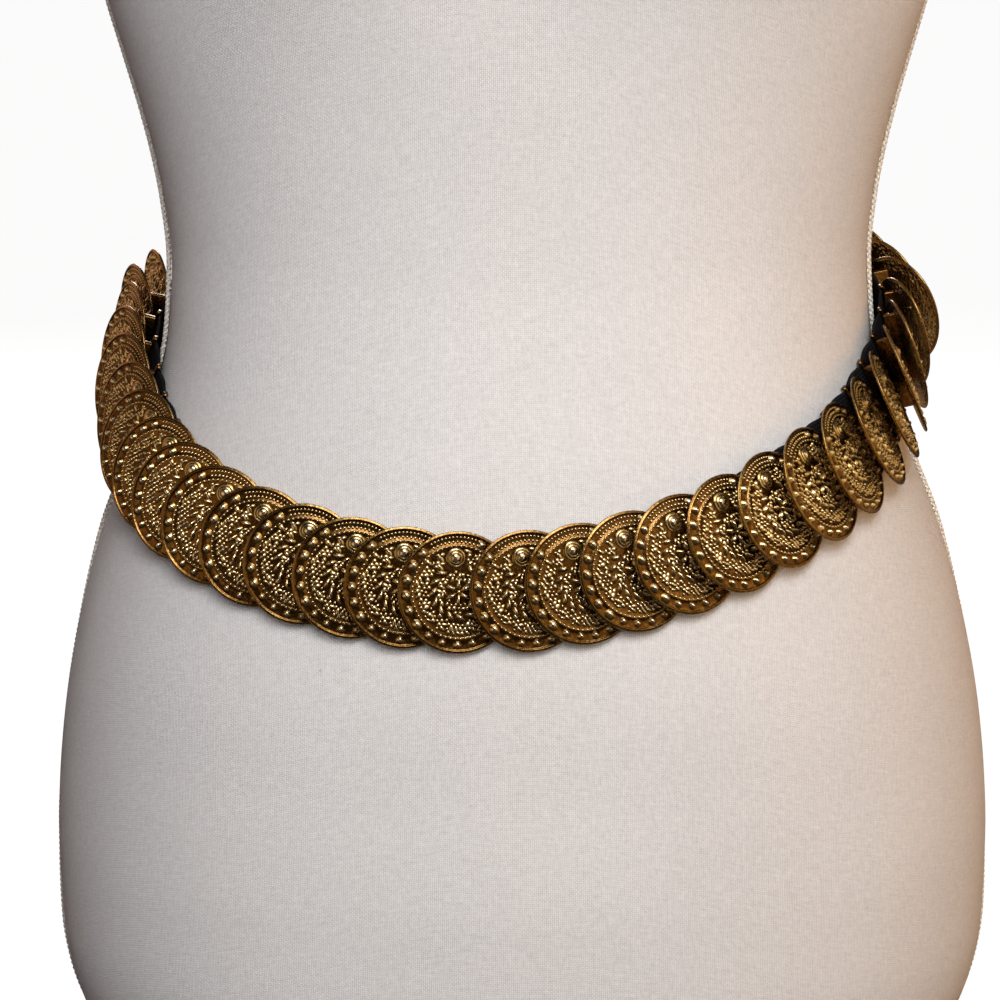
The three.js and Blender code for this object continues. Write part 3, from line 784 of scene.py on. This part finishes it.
def add_boss(shape):
    """A turned boss in steps, which stands on the ground near the edge."""
    spot = polar(BOSS["ring"], BOSS["turn_deg"])
    base = ground_level(BOSS["ring"]) - BOSS["sink"]
    sides = BOSS["sides"]
    turn = round_turns(sides)
    rings = [
        np.stack([
            spot[0] + row["radius"] * BOSS["radius"] * np.cos(turn),
            spot[1] + row["radius"] * BOSS["radius"] * np.sin(turn),
            np.full(sides, base + row["level"]),
        ], -1)
        for row in BOSS_STEPS
    ]
    top = len(BOSS_STEPS) * sides
    tip = [spot[0], spot[1], base + BOSS_STEPS[-1]["level"] + BOSS["tip"]]
    faces = [*grid_faces(len(BOSS_STEPS), sides), *tip_faces(top - sides, sides, top)]
    wear_and_shade = [row["wear_and_shade"] for row in BOSS_STEPS for _ in range(sides)]
    shape.add(np.vstack([*rings, [tip]]), faces, [*wear_and_shade, 1.0])


def add_wreaths(shape, random):
    """Rings of long seeds, which lean all the same way."""
    boss = polar(BOSS["ring"], BOSS["turn_deg"])
    for row in WREATHS:
        for order in range(row["count"]):
            degrees = (order + 0.5) * 360 / row["count"]
            spot = polar(row["ring"], degrees)
            if np.hypot(*(spot - boss)) < BOSS["radius"] + SEED["long"]:
                continue
            sway = random.uniform(-SEED["sway_deg"], SEED["sway_deg"])
            dome(shape, spot, SEED["long"], SEED["wide"], SEED["height"],
                 lean=math.radians(degrees + row["lean_deg"] + sway),
                 sides=SEED["sides"], rings=SEED["rings"])


def add_grains(shape, random):
    """A field of small uneven grains, some of them long, round the wreaths."""
    boss = polar(BOSS["ring"], BOSS["turn_deg"])
    clear_of_boss = BOSS["radius"] + GRAIN["boss_gap"]
    pitch = GRAIN["pitch"]
    row_pitch = pitch * GRAIN["row_share"]
    rows = int(GRAIN["field"] / row_pitch) + 1
    for row in range(-rows, rows + 1):
        for column in range(-rows - 1, rows + 2):
            spot = np.array([(column + 0.5 * (row % 2)) * pitch, row * row_pitch])
            spot = spot + random.uniform(-GRAIN["jitter"], GRAIN["jitter"], 2)
            away = np.hypot(*spot)
            if away > GRAIN["field"] or np.hypot(*(spot - boss)) < clear_of_boss:
                continue
            if any(abs(away - wreath["ring"]) < GRAIN["wreath_gap"] for wreath in WREATHS):
                continue
            if random.random() < GRAIN["missing"]:
                continue
            size = GRAIN["radius"] * random.uniform(*GRAIN["size_spread"])
            is_long = random.random() < GRAIN["long_ones"]
            long = size * (random.uniform(*GRAIN["long_stretch"]) if is_long else GRAIN["stretch"])
            height = GRAIN["height"] * random.uniform(*GRAIN["height_spread"])
            dome(shape, spot, long, size * GRAIN["narrow"], height, lean=random.uniform(0, math.pi))


def stamped_face():
    """The plate and its relief, a generic pattern that every disc shares."""
    shape = Shape()
    random = np.random.default_rng(SEEDS["face"])
    add_ground(shape)
    add_beads(shape, random)
    add_fan(shape)
    add_inner_dots(shape)
    add_boss(shape)
    add_wreaths(shape, random)
    add_grains(shape, random)
    return shape


# ---------------------------------------------------------------------------
# Bracket at the back of a disc, in millimetres along, up and out of its place
# ---------------------------------------------------------------------------

def bracket_strip():
    """A bent strip over the elastic whose ends turn down past its edges."""
    side = BRACKET["side"]
    over = BRACKET["over"]
    bend = BRACKET["bend"]
    turn = np.radians(BEND_TURNS_DEG)
    corner = [(side - bend * (1 - math.cos(a)), over - bend + bend * math.sin(a)) for a in turn]
    half_path = [(side, BRACKET["end"]), (side, over - bend), *corner, (BRACKET["flat"], over)]
    path = np.array([(-y, z) for y, z in half_path] + [(0.0, over)] + half_path[::-1])
    ahead = unit(np.gradient(path, axis=0))
    outward = np.stack([-ahead[:, 1], ahead[:, 0]], -1)
    half = BRACKET["strip"] / 2
    wide = BRACKET["half"]
    section = [(-wide, -half), (wide, -half), (wide, half), (-wide, half)]
    rings = [[[x, *(spot + out * z)] for x, z in section] for spot, out in zip(path, outward)]
    faces = [list(face[::-1]) for face in grid_faces(len(rings), 4)]
    last = len(rings) * 4
    faces += [[0, 1, 2, 3], [last - 1, last - 2, last - 3, last - 4]]
    return np.array(rings).reshape(-1, 3), faces


def bracket_foot(plate, bracket):
    """A long foot soldered between the strip and the back of the tilted plate."""
    low = BRACKET["over"] + BRACKET["strip"] / 2 - BRACKET["sink"]
    back = plate["middle"] - plate["out"] * BRACKET["into_plate"] * MM
    wide = BRACKET["half"] * BRACKET["foot_share"]
    corner = BRACKET["foot_corner"]
    outline = [
        (sx * (wide - dx), sy * (BRACKET["foot"] - dy), low)
        for sx, sy, order in ((1, 1, 1), (-1, 1, -1), (-1, -1, 1), (1, -1, -1))
        for dx, dy in ((0, corner), (corner, 0))[::order]
    ]
    foot = placed(outline, bracket)
    gap = ((back - foot) @ plate["out"]) / (bracket["out"] @ plate["out"])
    return np.vstack([foot, foot + gap[:, None] * bracket["out"]]), grid_faces(2, len(foot))


def make_disc(name, places, face, material, random):
    """A stamped disc with its bracket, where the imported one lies."""
    plate, bracket = places
    shape = Shape()
    spin = math.radians(random.uniform(-SPIN_DEG, SPIN_DEG))
    points = face.all_points()
    spun = np.stack([
        points[:, 0] * math.cos(spin) - points[:, 1] * math.sin(spin),
        points[:, 0] * math.sin(spin) + points[:, 1] * math.cos(spin),
        points[:, 2],
    ], -1)
    shape.add(placed(spun, plate), face.faces, np.concatenate(face.wear_and_shade))
    strip, strip_faces = bracket_strip()
    shape.add(placed(strip, bracket), strip_faces, BRACKET["wear_and_shade"])
    foot, foot_faces = bracket_foot(plate, bracket)
    shape.add(foot, foot_faces, BRACKET["wear_and_shade"])
    # Every point carries its wear with painted shade, and the back's rows are marked for painted
    # light.
    behind = np.zeros(shape.count)
    behind[:BACK_ROWS_SPECKED_AND_LIT * GROUND_SIDES] = 1
    marks = {"wear_and_shade": np.concatenate(shape.wear_and_shade), "behind": behind}
    title = name.replace("disc", "stamped_disc")
    obj = make_object(title, shape.all_points(), shape.faces, material, marks)
    hand_over(obj, "antique_brass", name)


# ---------------------------------------------------------------------------
# Elastic band
# ---------------------------------------------------------------------------

def band_line(brackets):
    """Middles and directions of the elastic at the brackets, with a few more past the
    joint at each end, how far along it each one is, and the length all round."""
    middle = np.array([place["middle"] for place in brackets])
    up = np.array([place["up"] for place in brackets])
    out = np.array([place["out"] for place in brackets])
    rows = np.concatenate([middle, up, out], axis=1)
    gaps = np.linalg.norm(np.roll(middle, -1, axis=0) - middle, axis=1)
    knots = np.concatenate([[0], np.cumsum(gaps)])
    whole = knots[-1]
    wrapped = np.vstack([rows[-3:], rows, rows[:4]])
    wrapped_knots = np.concatenate([knots[-4:-1] - whole, knots, knots[1:4] + whole])
    return wrapped_knots, wrapped, whole


def elastic_section():
    """Corners round the elastic, as shares of its half width and half thickness."""
    quarter = ELASTIC_QUARTER
    section = [(-share, level) for share, level in quarter[::-1]] + quarter[1:]
    section += [(share, -level) for share, level in quarter[-2::-1]]
    section += [(-share, -level) for share, level in quarter[1:-1]]
    return section


def make_elastic(brackets, material):
    """One strip through all brackets, which swells between them, open at the clasp."""
    knots, rows, whole = band_line(brackets)
    count = DISC_COUNT * ELASTIC["steps"] + 1
    at = np.linspace(ELASTIC["start"] * MM, whole + ELASTIC["stop"] * MM, count)
    line = cubic(knots, rows, np.gradient(rows, knots, axis=0), at)
    middle = line[:, :3]
    up = unit(line[:, 3:6])
    out = unit(line[:, 6:9])
    free = np.interp(at, knots, np.arange(len(knots)))
    bulge = np.sin(np.pi * (free % 1)) ** ELASTIC["ruche_power"]
    half = ELASTIC["half"] + ELASTIC["ruche"] * bulge
    thick = ELASTIC["thickness"] / 2
    section = elastic_section()
    rings = []
    wave = ELASTIC["pucker"] * np.cos(2 * np.pi * free)
    for y, z in section:
        pucker = wave * abs(y) ** 3
        point = middle + up * (y * half * MM)[:, None] + out * ((z * thick + pucker) * MM)[:, None]
        rings.append(point)
    rings = np.stack(rings, axis=1)
    sides = len(section)
    skin = grid_faces(count, sides)
    faces = [*skin, *end_faces(count, sides)]
    place = np.array([y for y, z in section])
    skin_uv = np.stack([at[skin // sides], place[skin % sides] * ELASTIC["half"] * MM], -1)
    uv = np.concatenate([skin_uv.reshape(-1, 2), np.zeros((2 * sides, 2))])
    obj = make_object("elastic_strip", rings.reshape(-1, 3), faces, material, corner_uv=uv)
    hand_over(obj, "elastic", "elastic_band")


# ---------------------------------------------------------------------------
# Floor, light and camera
# ---------------------------------------------------------------------------

# The floor and backdrop from front to back, in metres: depth and height.
FLOOR_LINE = [(-4.0, 0.0), (3.0, 0.0), (4.2, 0.12), (5.1, 0.6), (5.6, 1.5), (5.8, 3.0), (5.8, 6.0)]
FLOOR_HALF = 6.0


def make_floor():
    """A pale floor that curves up into a backdrop a long way behind."""
    points = [(x, y, z) for y, z in FLOOR_LINE for x in (-FLOOR_HALF, FLOOR_HALF)]
    faces = [(2 * i, 2 * i + 1, 2 * i + 3, 2 * i + 2) for i in range(len(FLOOR_LINE) - 1)]
    finish = Finish("studio_floor", Roughness=0.9, Emission_Strength=1.0)
    place = finish.node("ShaderNodeTexCoord").outputs["Object"]
    grain = finish.noise(place, 3.0, 2.0)
    color = finish.ramp(grain, [(0.0, (0.10, 0.10, 0.10)), (1.0, (0.12, 0.12, 0.12))])
    glow = finish.ramp(grain, [(0.0, (0.94, 0.94, 0.94)), (1.0, (0.96, 0.96, 0.96))])
    floor = make_object("floor", points, faces, finish.set(Base_Color=color, Emission_Color=glow))
    floor.visible_diffuse = False
    floor.visible_glossy = False


# Softboxes round the part: place and size in metres, power in watts. A dull
# one doesn't show in the metal, and a card shows in nothing else.
LIGHTS = {
    "key": {
        "place": (0.25, -1.9, 1.25), "size": (0.6, 0.6),
        "power": 17, "color": (0.965, 0.965, 0.99), "dull": True,
    },
    "key_card": {
        "place": (0.25, -1.3, 1.85), "size": (1.0, 0.75),
        "power": 23, "color": (1.0, 0.95, 0.93), "card": True,
    },
    "gold_card": {
        "place": (1.3, -0.8, 1.3), "size": (1.1, 0.8),
        "power": 3.6, "color": (1.0, 0.76, 0.38), "card": True,
    },
    "fill": {
        "place": (0.02, -1.15, 0.6), "size": (0.5, 0.4),
        "power": 7.4, "color": (0.965, 0.965, 0.99), "dull": True,
    },
    "left_front": {
        "place": (-1.4, -1.3, 1.1), "size": (0.8, 0.8),
        "power": 1.2, "color": (0.9, 0.8, 1.0), "dull": True,
    },
    "right_front": {
        "place": (1.4, -1.3, 0.7), "size": (0.8, 0.8),
        "power": 4.1, "color": (1.0, 0.70, 0.38), "dull": True,
    },
    "right": {
        "place": (1.9, -0.1, 0.5), "size": (0.9, 1.2),
        "power": 9, "color": (1.0, 0.44, 0.08), "dull": True,
    },
    "right_back": {
        "place": (1.4, 1.3, 0.6), "size": (0.8, 0.8),
        "power": 1.5, "color": (1.0, 0.66, 0.36),
    },
    "left_back": {
        "place": (-1.4, 1.3, 0.6), "size": (0.8, 0.8),
        "power": 1.3, "color": (1.0, 0.52, 0.4),
    },
    "left_card": {
        "place": (-1.5, 1.0, 0.35), "size": (2.2, 1.8),
        "power": 3.6, "color": (1.0, 0.52, 0.19), "card": True,
    },
    "left_glow": {
        "place": (-1.6, -0.9, 0.3), "size": (1.6, 1.4),
        "power": 4.5, "color": (1.0, 0.70, 0.38), "card": True,
    },
    "right_glow": {
        "place": (1.5, -1.2, 0.45), "size": (1.8, 1.4),
        "power": 5.5, "color": (1.0, 0.70, 0.34), "card": True,
    },
    "right_card": {
        "place": (1.7, 0.2, 0.4), "size": (1.8, 1.6),
        "power": 6, "color": (1.0, 0.62, 0.26), "card": True,
    },
    "sky_card": {
        "place": (0.1, -0.8, 2.1), "size": (1.5, 0.8),
        "power": 12, "color": (1.0, 0.93, 0.84), "card": True,
    },
    "back": {
        "place": (-0.2, 2.0, 1.1), "size": (0.6, 0.6),
        "power": 14, "color": (1.0, 0.97, 0.95),
    },
}
LIGHT_TARGET = (0, 0, 0.22)
WORLD = {"color": (1.0, 0.84, 0.76, 1), "strength": 0.055}


def make_lights():
    for name, row in LIGHTS.items():
        data = bpy.data.lights.new(name, "AREA")
        data.shape = "RECTANGLE"
        data.size, data.size_y = row["size"]
        data.energy = row["power"]
        data.color = row["color"]
        light = bpy.data.objects.new(name, data)
        light.visible_glossy = not row.get("dull", False)
        light.visible_diffuse = not row.get("card", False)
        light.location = row["place"]
        aim = Vector(LIGHT_TARGET) - Vector(row["place"])
        light.rotation_euler = aim.to_track_quat("-Z", "Y").to_euler()
        bpy.context.scene.collection.objects.link(light)
    world = bpy.data.worlds.new("studio")
    world.use_nodes = True
    background = world.node_tree.nodes["Background"]
    background.inputs["Color"].default_value = WORLD["color"]
    background.inputs["Strength"].default_value = WORLD["strength"]
    bpy.context.scene.world = world


# The photo's view: aim and distance in metres, lens and sensor in millimetres.
CAMERA = {
    "aim": (-0.0072, 0.0, 0.2145), "elevation_deg": 9.3, "roll_deg": -0.39,
    "distance": 1.404, "lens": 141.5, "sensor": 36,
}


def make_camera():
    data = bpy.data.cameras.new("camera")
    data.lens = CAMERA["lens"]
    data.sensor_width = CAMERA["sensor"]
    camera = bpy.data.objects.new("camera", data)
    rise = math.radians(CAMERA["elevation_deg"])
    aim = Vector(CAMERA["aim"])
    camera.location = aim + Vector((0, -math.cos(rise), math.sin(rise))) * CAMERA["distance"]
    tilt = Matrix.Rotation(math.pi / 2 - rise, 3, "X")
    roll = Matrix.Rotation(math.radians(CAMERA["roll_deg"]), 3, "Z")
    camera.rotation_euler = (tilt @ roll).to_euler()
    bpy.context.scene.collection.objects.link(camera)
    bpy.context.scene.camera = camera
    bpy.context.scene.view_settings.view_transform = "Standard"


# ---------------------------------------------------------------------------
# The whole part
# ---------------------------------------------------------------------------

def dress_clasp(material):
    """The clasp keeps its CAD shape and gets the brass."""
    for node in ("clasp_loop", "clasp_hook"):
        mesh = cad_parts[node].data
        mesh.materials.clear()
        mesh.materials.append(material)


def build():
    linen = linen_finish()
    gimp = gimp_finish()
    elastic = elastic_finish()
    brass = brass_finish()
    make_camera()
    form = make_form(linen)
    make_gimp("gimp_right", "seam_braid_right", gimp)
    make_gimp("gimp_left", "seam_braid_left", gimp)
    places = [disc_places(name) for name in DISC_NAMES]
    make_elastic([bracket for _, bracket in places], elastic)
    face = stamped_face()
    random = np.random.default_rng(SEEDS["spin"])
    for name, place in zip(DISC_NAMES, places):
        make_disc(name, place, face, brass, random)
    dress_clasp(brass)
    make_floor()
    make_lights()


build()
